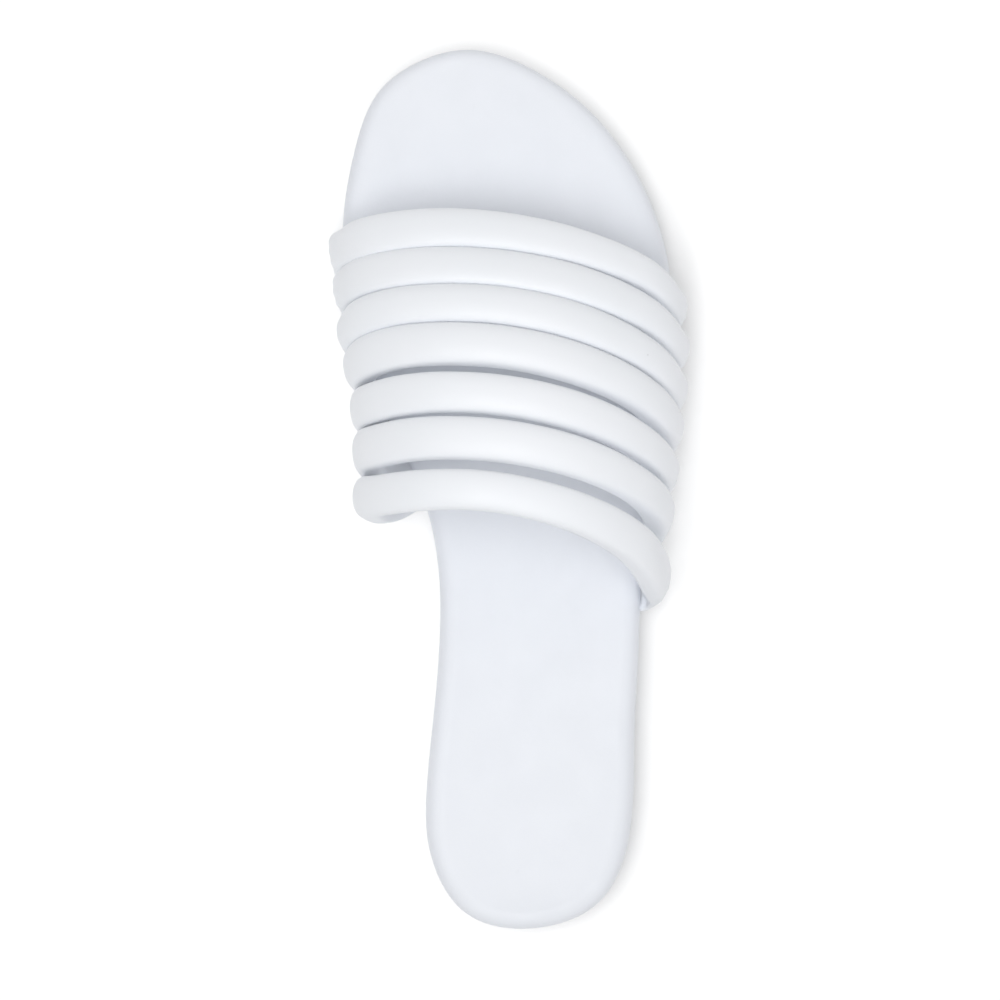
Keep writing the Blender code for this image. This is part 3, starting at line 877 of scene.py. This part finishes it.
@dataclass
class TubeUpper:
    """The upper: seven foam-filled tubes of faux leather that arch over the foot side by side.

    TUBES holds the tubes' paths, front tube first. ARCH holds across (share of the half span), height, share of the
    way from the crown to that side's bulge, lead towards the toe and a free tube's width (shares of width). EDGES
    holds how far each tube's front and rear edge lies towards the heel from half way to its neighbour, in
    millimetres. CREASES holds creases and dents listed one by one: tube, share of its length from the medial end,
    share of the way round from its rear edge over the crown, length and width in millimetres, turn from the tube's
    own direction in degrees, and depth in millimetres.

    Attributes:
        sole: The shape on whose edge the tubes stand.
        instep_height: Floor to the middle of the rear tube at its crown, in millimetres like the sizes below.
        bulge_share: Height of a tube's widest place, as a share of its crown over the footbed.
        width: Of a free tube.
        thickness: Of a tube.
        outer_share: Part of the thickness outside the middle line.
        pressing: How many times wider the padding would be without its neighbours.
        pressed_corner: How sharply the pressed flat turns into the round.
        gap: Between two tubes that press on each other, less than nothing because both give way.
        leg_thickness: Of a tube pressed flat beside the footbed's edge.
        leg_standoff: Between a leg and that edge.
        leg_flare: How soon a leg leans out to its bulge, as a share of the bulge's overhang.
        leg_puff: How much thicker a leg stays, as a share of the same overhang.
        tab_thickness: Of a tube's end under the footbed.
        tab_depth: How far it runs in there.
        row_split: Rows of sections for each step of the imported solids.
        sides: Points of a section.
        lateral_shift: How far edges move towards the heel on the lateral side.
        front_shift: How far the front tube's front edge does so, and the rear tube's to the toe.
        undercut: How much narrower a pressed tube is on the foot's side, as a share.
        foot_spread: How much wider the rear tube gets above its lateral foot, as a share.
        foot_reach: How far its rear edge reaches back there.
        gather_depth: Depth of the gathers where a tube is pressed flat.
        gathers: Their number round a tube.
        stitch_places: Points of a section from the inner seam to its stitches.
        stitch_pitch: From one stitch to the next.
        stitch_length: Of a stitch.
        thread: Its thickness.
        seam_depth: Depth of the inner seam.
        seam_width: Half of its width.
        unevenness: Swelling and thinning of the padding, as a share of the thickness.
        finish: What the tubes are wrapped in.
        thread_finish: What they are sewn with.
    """

    sole: SoleShape
    instep_height: float = 71.2
    bulge_share: float = 0.36
    width: float = 12.0
    thickness: float = 9.5
    outer_share: float = 0.56
    pressing: float = 1.28
    pressed_corner: float = 9.0
    gap: float = -0.16
    leg_thickness: float = 2.6
    leg_standoff: float = 0.9
    leg_flare: float = 0.30
    leg_puff: float = 0.26
    tab_thickness: float = 2.4
    tab_depth: float = 14.0
    row_split: int = 10
    sides: int = 72
    lateral_shift: float = 0.6
    front_shift: float = 0.9
    undercut: float = 0.2
    foot_spread: float = 0.20
    foot_reach: float = 0.8
    gather_depth: float = 0.4
    gathers: int = 9
    stitch_places: int = 3
    stitch_pitch: float = 3.4
    stitch_length: float = 2.5
    thread: float = 0.5
    seam_depth: float = 0.35
    seam_width: float = 0.8
    unevenness: float = 0.012
    finish: FauxLeather = FauxLeather("strap_faux_leather", "#F6F8FC", "#F4F7FB")
    thread_finish: SewingThread = SewingThread()

    TUBES = tuple(TubePath(*path) for path in (
        (0.781, 0.646, 0.781, -0.445, 0.703, 0.489, 0.775, 0.694),
        (0.736, 0.719, 0.737, -0.442, 0.652, 0.492, 0.727, 0.641),
        (0.698, 0.789, 0.686, -0.446, 0.606, 0.480, 0.678, 0.589),
        (0.652, 0.853, 0.646, -0.431, 0.562, 0.463, 0.631, 0.536),
        (0.601, 0.909, 0.598, -0.419, 0.515, 0.442, 0.585, 0.484),
        (0.551, 0.958, 0.549, -0.418, 0.469, 0.421, 0.539, 0.432),
        (0.494, 1.000, 0.498, -0.422, 0.399, 0.399, 0.501, 0.380),
    ))
    ARCH = (
        (-1.00, 0.00, 1.00, 0.00, 0.99), (-0.90, 0.49, 0.30, 0.09, 0.99), (-0.72, 0.75, 0.00, 0.15, 0.99),
        (-0.42, 0.94, 0.00, 0.15, 0.98), (-0.06, 1.00, 0.00, 0.00, 0.97), (0.33, 0.95, 0.19, 0.00, 0.95),
        (0.64, 0.79, 0.43, 0.00, 0.90), (0.86, 0.54, 0.68, 0.00, 0.83), (1.00, 0.00, 1.00, 0.00, 0.83),
    )
    EDGES = ((0.4, 0.85), (0.1, 0.55), (0.55, 0.75), (0.0, 0.5), (0.9, 0.75), (0.35, 0.8), (0.3, 0.0))
    CREASES = (
        (0, 0.30, 0.22, 7.0, 1.3, 62.0, 0.10), (0, 0.63, 0.30, 9.0, 1.6, -40.0, 0.08),
        (0, 0.86, 0.20, 6.0, 1.1, 78.0, 0.14), (1, 0.13, 0.24, 5.0, 1.0, 84.0, 0.15),
        (1, 0.55, 0.12, 8.0, 1.5, 20.0, 0.07), (2, 0.85, 0.28, 6.0, 1.1, -75.0, 0.13),
        (2, 0.34, 0.30, 7.0, 1.6, 35.0, 0.07), (3, 0.14, 0.22, 5.5, 1.0, -82.0, 0.15),
        (3, 0.70, 0.15, 8.0, 1.4, 24.0, 0.08), (4, 0.87, 0.26, 6.0, 1.0, 72.0, 0.14),
        (4, 0.42, 0.33, 7.0, 1.5, -30.0, 0.07), (5, 0.15, 0.30, 6.0, 1.1, 80.0, 0.14),
        (5, 0.60, 0.24, 9.0, 1.7, 12.0, 0.07), (6, 0.18, 0.12, 6.0, 1.0, -66.0, 0.14),
        (6, 0.52, 0.20, 7.0, 1.4, 50.0, 0.09), (6, 0.885, 0.10, 5.0, 0.8, 60.0, 0.30),
    )
    LEG_STEPS = (1, 2, 2, 4)
    ARCH_STEPS = 2

    def feet(self) -> dict[Side, list[float]]:
        """Shares of the length at which the tubes' ends lie under each side of the footbed."""
        medial = [path.medial_foot for path in self.TUBES]
        return {Side.MEDIAL: medial, Side.LATERAL: [path.lateral_foot for path in self.TUBES]}

    def leg_table(self) -> Array:
        """How a tube's section changes, counted in steps from the tab's end.

        Returns:
            The step, thickness, share of the width, squareness, share of the leg's extra thickness, and how many
            times wider the section would be if its neighbours didn't press it flat.
        """
        tab, leg, tube = self.tab_thickness, self.leg_thickness, self.thickness
        return np.array((
            (0, tab, 0.90, 3.6, 0.0, 1.0),
            (1, tab, 0.92, 3.6, 0.0, 1.0),
            (3, tab, 0.94, 3.0, 0.0, 1.0),
            (5, leg, 0.96, 2.5, 1.0, 1.0),
            (6, leg * 1.6, 0.98, 2.3, 1.0, 1.0),
            (7, tube * 0.72, 1.00, 2.2, 0.5, 1.0),
            (9, tube, 1.00, 2.2, 0.0, 1.12),
            (13, tube, 1.00, 2.2, 0.0, self.pressing),
        ))

    def stations(self) -> tuple[Array, Array]:
        """Places of all rows of a tube.

        Returns:
            Each row's place in steps from the medial end, and from the nearer end.
        """
        total = 2 * sum(self.LEG_STEPS) + self.ARCH_STEPS * (len(self.ARCH) - 1)
        place = np.arange(total * self.row_split + 1) / self.row_split
        return place, np.minimum(place, total - place)

    def overhang(self, side: Side, share: float, bulge: Array) -> float:
        """How far a bulge stands out over the footbed's edge."""
        point, out = self.sole.foot(side, share, self.width / 3)
        return max(0.0, float(np.dot(bulge[:2] - point, out)))

    def leg_places(self, side: Side, bulge: Array, share: float) -> list[Array]:
        """The four places of a tube's path below its bulge.

        Args:
            side: Which side of the shoe.
            bulge: The tube's widest place on that side.
            share: Where its foot stands along the shoe.

        Returns:
            The places, tab end first.
        """
        sole = self.sole
        point, out = sole.foot(side, share, self.width / 3)
        overhang = self.overhang(side, share, bulge)
        tab = float(sole.footbed_bottom(point[1])) + self.tab_thickness / 2 + sole.clearance / 3
        inner = (self.leg_thickness + self.leg_puff * overhang) * (1 - self.outer_share)
        beside = inner + self.leg_standoff + self.leg_flare * overhang
        near_top = float(sole.footbed_top(point[1])) - 0.1 * sole.footbed_thickness
        lean = np.array([0.0, (bulge[1] - point[1]) / 4, 0.0])
        turn = (self.tab_thickness + self.leg_flare * overhang) / 5
        return [
            np.array([*(point - out * self.tab_depth), tab]),
            np.array([*(point - out * self.tab_thickness * 1.1), tab]),
            np.array([*(point + out * turn), tab + self.tab_thickness / 3]),
            np.array([*(point + out * beside), near_top]) + lean,
        ]

    def arch_places(self, path: TubePath) -> list[Array]:
        """The places of a tube's middle line over the foot.

        Args:
            path: Where the tube runs.

        Returns:
            The places, from its medial bulge to its lateral bulge.
        """
        crown_y = path.crown_along * self.sole.length
        crown_z = path.crown_height * self.instep_height
        base = float(self.sole.footbed_top(crown_y))
        bulge_z = base + self.bulge_share * (crown_z - base)
        left, right = (share * self.sole.ball_width for share in (path.medial_across, path.lateral_across))
        places = []
        for across, rise, way, lead, _ in self.ARCH:
            side_along = path.medial_along if across < 0 else path.lateral_along
            x = (left + right) / 2 + across * (right - left) / 2
            y = crown_y + way * (side_along * self.sole.length - crown_y) + lead * self.width
            places.append(np.array([x, y, bulge_z + rise * (crown_z - bulge_z)]))
        return places

    def line(self, path: TubePath) -> Array:
        """The middle line of one tube.

        Args:
            path: Where the tube runs.

        Returns:
            One point for each row of sections, medial tab to lateral tab.
        """
        arch = self.arch_places(path)
        medial = self.leg_places(Side.MEDIAL, arch[0], path.medial_foot)
        lateral = self.leg_places(Side.LATERAL, arch[-1], path.lateral_foot)
        steps = [*self.LEG_STEPS, *[self.ARCH_STEPS] * (len(self.ARCH) - 1), *self.LEG_STEPS[::-1]]
        return Spline(np.array(medial + arch + lateral[::-1])).places([step * self.row_split for step in steps])

    def sizes(self, path: TubePath) -> tuple[Array, Array, Array, Array]:
        """Sizes of one tube's sections.

        Args:
            path: Where the tube runs.

        Returns:
            Thickness, share of width, squareness and pressing, by row of sections.
        """
        place, from_end = self.stations()
        table = self.leg_table()
        thickness, width, square, puff, pressed = (
            smooth_between(table[:, 0], column, from_end) for column in table[:, 1:].T
        )
        arch = self.arch_places(path)
        medial = self.overhang(Side.MEDIAL, path.medial_foot, arch[0])
        lateral = self.overhang(Side.LATERAL, path.lateral_foot, arch[-1])
        extra = np.where(place < place[-1] / 2, medial, lateral) * self.leg_puff
        return thickness + puff * extra, width, square, pressed

    def widest(self) -> Array:
        """Works out how wide a tube is where nothing is beside it.

        Returns:
            Half of that width, by row of sections.
        """
        corners = sum(self.LEG_STEPS) + self.ARCH_STEPS * np.arange(len(self.ARCH))
        place = np.clip(self.stations()[0], corners[0], corners[-1])
        return smooth_between(corners, [width for *_, width in self.ARCH], place) * self.width / 2

    def across(self, lines: list[Array], index: int, step: int) -> tuple[Array, Array, Array]:
        """From a tube's line towards its neighbour's.

        Args:
            lines: The middle lines of all tubes.
            index: Which tube.
            step: -1 for the neighbour in front, 1 for the one behind.

        Returns:
            The direction square to the line, the half width that leaves a gap, and the line's direction.
        """
        line = lines[index]
        tangent = unit(np.gradient(line, axis=0))
        neighbour = index + step
        reach = lines[neighbour] - line if 0 <= neighbour < len(lines) else line - lines[index - step]
        reach = reach - tangent * np.sum(reach * tangent, axis=1, keepdims=True)
        half = np.minimum(np.linalg.norm(reach, axis=1) / 2 - self.gap / 2, self.widest())
        return unit(reach), self.evened(half), tangent

    def evened(self, values: Array) -> Array:
        """The same values along a tube without kinks.

        Args:
            values: One value for each row.

        Returns:
            The values, nowhere larger than before.
        """
        kernel = np.hanning(2 * self.row_split + 1)
        padded = np.pad(values, self.row_split, mode="edge")
        return np.minimum(values, np.convolve(padded, kernel / kernel.sum(), mode="valid"))

    def outline(self, square: float, pressed: float, front: float, rear: float, inner: float, outer: float) -> Array:
        """One section's outline, with its points spread evenly round it.

        The padding would be round and wider, and the tubes beside it press its two edges flat.

        Args:
            square: Squareness of the free section.
            pressed: How many times wider the free section is.
            front: Half width towards the toe.
            rear: Half width towards the heel.
            inner: Height below the middle line, on the foot's side.
            outer: Height above it.

        Returns:
            For each point its place across, its height and how far it belongs to the rear edge.
        """
        angle = np.linspace(0, 2 * math.pi, 361)
        c, s = np.cos(angle), np.sin(angle)
        half_width = np.where(c > 0, rear, front)
        free = np.array([*(pressed * np.abs(c) ** (2 / square)), pressed])
        corner = self.pressed_corner
        clipped = free / (1 + free**corner) ** (1 / corner)
        height = np.sign(s) * np.abs(s) ** (2 / square)
        narrowing = self.undercut * (pressed - 1) / (self.pressing - 1) * ramp(height, 0.5, -1.0)
        sideways = np.sign(c) * clipped[:-1] / clipped[-1] * half_width * (1 - narrowing)
        upward = height * np.where(s > 0, outer, inner)
        rearness = (1 + np.clip(sideways / half_width, -1, 1)) / 2
        run = run_along(np.column_stack([sideways, upward]))
        places = run[-1] * np.arange(self.sides) / self.sides
        return read_line(np.column_stack([sideways, upward, rearness]), run, places)

    def relief(self, index: int) -> tuple[Array, Array, Array]:
        """Small departures of one tube from its even section.

        Args:
            index: Which tube.

        Returns:
            By row, its share of thickness, the depth of its gathers and the depth of its inner seam.
        """
        place, from_end = self.stations()
        waves = ((1.0, 0.9, 2.1), (0.7, 1.9, 1.3), (0.4, 3.7, 1.0))
        wave = sum(height * np.sin(place * pace + index * start) for height, pace, start in waves)
        gather = self.gather_depth * ramp(from_end, 2.5, 4.0) * (1 - ramp(from_end, 5.0, 9.0))
        seam = self.seam_depth * ramp(from_end, 7.0, 9.0)
        return 1 + self.unevenness * wave * ramp(from_end, 6, 9), gather, seam

    def edge_halves(self, index: int, front: Array, rear: Array) -> tuple[Array, Array]:
        """Half widths of one tube with its edges moved to where the seams lie.

        Args:
            index: Which tube.
            front: Even half width towards the toe, by row.
            rear: Even half width towards the heel, by row.

        Returns:
            The two half widths, by row.
        """
        share = np.linspace(-1, 1, len(front))
        above_leg = 1 - ramp(share, 0.85, 0.95)
        lateral = self.lateral_shift * ramp(share, 0.1, 0.5)
        ahead, behind = self.EDGES[index]
        rear = rear + behind + lateral
        if index == 0:
            front = front - self.front_shift * ramp(share, -0.1, 0.25)
        if index == len(self.TUBES) - 1:
            spread = 1 + self.foot_spread * ramp(share, 0.15, 0.5) * above_leg
            front = front * spread + self.front_shift * ramp(share, 0.0, 0.3)
            rear = rear * spread + self.foot_reach * ramp(share, 0.42, 0.62) * above_leg
        return front - ahead - lateral, rear

    def crease(self, rings: Array, index: int) -> Array:
        """Presses one tube's listed creases into its sections.

        Args:
            rings: Its points by row, place round the tube and axis.
            index: Which tube.

        Returns:
            The changed points.
        """
        along = unit(np.gradient(rings, axis=0))
        around = unit(np.roll(rings, -1, axis=1) - np.roll(rings, 1, axis=1))
        normal = unit(np.cross(around, along))
        middle = rings.mean(axis=1, keepdims=True)
        normal = normal * np.sign(np.sum(normal * (rings - middle), axis=-1, keepdims=True))
        for tube, share, turn_round, length, width, turn, depth in self.CREASES:
            if tube != index:
                continue
            row, side = round(share * (len(rings) - 1)), round(turn_round * self.sides)
            angle = math.radians(turn)
            ahead = along[row, side] * math.cos(angle) + around[row, side] * math.sin(angle)
            aside = np.cross(normal[row, side], ahead)
            away = rings - rings[row, side]
            reach, off, below = (np.sum(away * axis, axis=-1) for axis in (ahead, aside, normal[row, side]))
            off = off + 0.06 * reach**2 / length
            near = (1 - ramp(np.abs(reach), 0.15 * length, 0.5 * length)) * (1 - ramp(np.abs(below), 2.5, 4.0))
            furrow = np.exp(-((off / width) ** 2))
            welt = 0.4 * np.exp(-(((np.abs(off) - 1.9 * width) / width) ** 2))
            rings = rings - normal * (depth * near * (furrow - welt))[..., None]
        return rings

    def rings(self, lines: list[Array], index: int) -> Array:
        """Sections of one tube.

        Args:
            lines: The middle lines of all tubes.
            index: Which tube.

        Returns:
            The points by row, place round the tube and axis.
        """
        front, front_half, tangent = self.across(lines, index, -1)
        rear, rear_half, _ = self.across(lines, index, 1)
        front_half, rear_half = self.edge_halves(index, front_half, rear_half)
        thickness, width, square, pressed = self.sizes(self.TUBES[index])
        fullness, gather, seam = self.relief(index)
        thickness = thickness * fullness
        outward = unit(np.cross(unit(rear - front), tangent))
        folds = np.cos(2 * math.pi * self.gathers * np.arange(self.sides) / self.sides + index)
        rows = []
        for k in range(len(thickness)):
            halves = front_half[k] * width[k], rear_half[k] * width[k]
            heights = thickness[k] * (1 - self.outer_share), thickness[k] * self.outer_share
            sideways, upward, rearness = self.outline(square[k], pressed[k], *halves, *heights).T
            pleat = 1 - gather[k] * (0.5 + 0.5 * folds) / np.hypot(sideways, upward)
            furrow = seam[k] * np.exp(-((sideways / self.seam_width) ** 2))
            upward = upward * pleat + np.where(upward < 0, furrow, 0)
            direction = unit(rear[k] * rearness[:, None] - front[k] * (1 - rearness[:, None]))
            rows.append(lines[index][k] + direction * (sideways * pleat)[:, None] + outward[k] * upward[:, None])
        return self.crease(np.array(rows), index)

    def build(self, shop: Workshop) -> list[bpy.types.Object]:
        """Makes the seven tubes.

        Args:
            shop: Where pieces are made.

        Returns:
            The pieces, front tube first.
        """
        lines = [self.line(path) for path in self.TUBES]
        pieces = []
        for index in range(len(lines)):
            rings = self.rings(lines, index)
            faces = tube_faces(0, len(rings), self.sides)
            piece = shop.mesh(f"tube_strap_{index + 1}", rings.reshape(-1, 3), faces)
            shop.declare(piece, self.finish, [f"strap_{index + 1}"])
            pieces.append(piece)
            self.stitch(shop, rings, index)
        return pieces

    def stitch(self, shop: Workshop, rings: Array, index: int) -> None:
        """Lays the lockstitches beside the seam on a tube's inner face.

        Args:
            shop: Where pieces are made.
            rings: The tube's points by row, place round the tube and axis.
            index: Which tube.
        """
        full_tube = 9 * self.row_split
        inner_face = round(0.75 * self.sides)
        rings = rings[full_tube : len(rings) - full_tube]
        track = rings[:, inner_face + self.stitch_places]
        away = unit(track - rings.mean(axis=1))
        run = run_along(track)
        # Where the thread goes down at a stitch's two ends: share of its half length, and of its thickness.
        profile = ((-1.0, 0.05), (-0.85, 0.75), (0.0, 1.0), (0.85, 0.75), (1.0, 0.05))
        sunk = 0.12
        turns = 2 * math.pi * np.arange(6) / 6
        places, faces = [], []
        for middle in np.arange(self.stitch_pitch, run[-1] - self.stitch_pitch, self.stitch_pitch):
            centre, normal = read_line(track, run, middle), read_line(away, run, middle)
            ahead = unit(read_line(track, run, middle + 0.5) - centre)
            aside = unit(np.cross(ahead, normal))
            rise = unit(np.cross(aside, ahead))
            faces += tube_faces(len(places), len(profile), len(turns))
            for reach, swell in profile:
                hub = centre + ahead * reach * self.stitch_length / 2 - rise * sunk * (1 - swell)
                for turn in turns:
                    places.append(hub + self.thread / 2 * swell * (aside * math.cos(turn) + rise * math.sin(turn)))
        thread = shop.mesh(f"inner_stitches_{index + 1}", np.array(places), faces)
        shop.declare(thread, self.thread_finish)


# ---------------------------------------------------------------- outsole


@dataclass
class Outsole:
    """The moulded bottom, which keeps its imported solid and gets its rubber.

    Attributes:
        finish: What it is moulded from.
    """

    finish: MouldedRubber = MouldedRubber("moulded_white_rubber", "#E9EBEE", "#E2E5E9")

    def dress(self) -> None:
        """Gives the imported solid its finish."""
        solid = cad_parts["outsole"]
        for place in solid.material_slots:
            place.material = self.finish.material()
        LOG.info("outsole: packed solid, %d faces", len(solid.data.polygons))


# ---------------------------------------------------------------- studio


@dataclass
class Studio:
    """A white board under a wide soft sky, a large key light over the shoe, and the camera overhead.

    Attributes:
        camera_height: Over the floor, in millimetres.
        pixels_per_mm: Of the photograph at the floor.
        photo_width: Of the photograph, in pixels.
        lean: Turn of the shoe in the photograph, in degrees.
        centre: The photograph's centre in the shoe's own millimetres.
        floor_reach: Half of the board's width, in millimetres.
        zenith: Brightness of the sky straight up.
        horizon: Its brightness at the horizon.
        medial_dimming: Share of that brightness left at the medial horizon, where a dark wall stands.
        wall: Where along X the dimming ends, as a direction's share.
        key: Power of the key light in watts.
        key_place: Where it hangs, in metres from the middle of the shoe.
        key_size: Width and depth of its face in metres.
        board: Finish of the floor.
    """

    camera_height: float = 1100.0
    pixels_per_mm: float = 3.40
    photo_width: float = 1000.0
    lean: float = -3.0
    centre: tuple[float, float] = (-4.0, 124.8)
    floor_reach: float = 4000.0
    zenith: float = 0.58
    horizon: float = 0.38
    medial_dimming: float = 0.38
    wall: float = -0.4
    key: float = 8.0
    key_place: tuple[float, float, float] = (-0.15, -0.08, 1.25)
    key_size: float = 0.7
    board: StudioBoard = StudioBoard()

    def build(self, shop: Workshop) -> None:
        """Makes the floor, the lights and the camera.

        Args:
            shop: Where pieces are made.
        """
        corners = np.array([(-1, -1, 0), (1, -1, 0), (1, 1, 0), (-1, 1, 0)]) * self.floor_reach
        floor = shop.mesh("studio_floor", corners, [(0, 1, 2, 3)])
        floor.data.materials.append(self.board.material())
        self.light_sky()
        self.hang_key()
        self.set_camera(shop)
        LOG.info("studio: floor, sky, key light and camera")

    def light_sky(self) -> None:
        """A white dome, brightest overhead and dimmed low on the medial side."""
        world = bpy.data.worlds.new("studio_sky")
        world.use_nodes = True
        tree = world.node_tree
        tree.nodes.clear()
        axes = add_node(tree, "SeparateXYZ", Vector=add_node(tree, "TexCoord")["Generated"])
        height = add_node(tree, "MapRange", To_Min=self.horizon, To_Max=self.zenith, Value=axes["Z"])[0]
        dimming = {"From_Min": -1.0, "From_Max": self.wall, "To_Min": self.medial_dimming, "To_Max": 1.0}
        side = add_node(tree, "MapRange", Value=axes["X"], **dimming)[0]
        strength = add_node(tree, "Math", operation="MULTIPLY", n0=height, n1=side)[0]
        sky = add_node(tree, "Background", Color=(1.0, 1.0, 1.0, 1.0), Strength=strength)[0]
        add_node(tree, "OutputWorld", Surface=sky)
        bpy.context.scene.world = world

    def hang_key(self) -> None:
        """The large softbox above the shoe, a little to its medial side and towards the heel."""
        lamp = bpy.data.lights.new("key_softbox", "AREA")
        lamp.shape = "RECTANGLE"
        lamp.size = self.key_size
        lamp.size_y = self.key_size
        lamp.energy = self.key
        light = bpy.data.objects.new("key_softbox", lamp)
        light.location = self.key_place
        aim = -np.array(self.key_place)
        light.rotation_euler = (math.acos(-aim[2] / np.linalg.norm(aim)), 0.0, math.atan2(-aim[0], aim[1]))
        bpy.context.scene.collection.objects.link(light)

    def set_camera(self, shop: Workshop) -> None:
        """Hangs the camera straight above the shoe.

        Args:
            shop: Turns the photograph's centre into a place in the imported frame.
        """
        lens = bpy.data.cameras.new("overhead_camera")
        lens.sensor_width = 36.0
        lens.lens = lens.sensor_width * self.camera_height * self.pixels_per_mm / self.photo_width
        lens.clip_end = 20.0
        camera = bpy.data.objects.new("overhead_camera", lens)
        camera.location = shop.placed(np.array([*self.centre, self.camera_height]))
        camera.rotation_euler = (0.0, 0.0, math.radians(self.lean))
        bpy.context.scene.collection.objects.link(camera)
        bpy.context.scene.camera = camera
        bpy.context.scene.view_settings.view_transform = "Standard"


def main() -> None:
    """Builds the sandal and its studio."""
    logging.basicConfig(level=logging.INFO, format="%(name)s: %(message)s")
    sole = SoleShape()
    shop = Workshop(sole)
    Outsole().dress()
    upper = TubeUpper(sole)
    Footbed(sole, upper.feet()).build(shop)
    upper.build(shop)
    Studio().build(shop)
    bpy.context.view_layer.update()


if __name__ == "__main__":
    main()
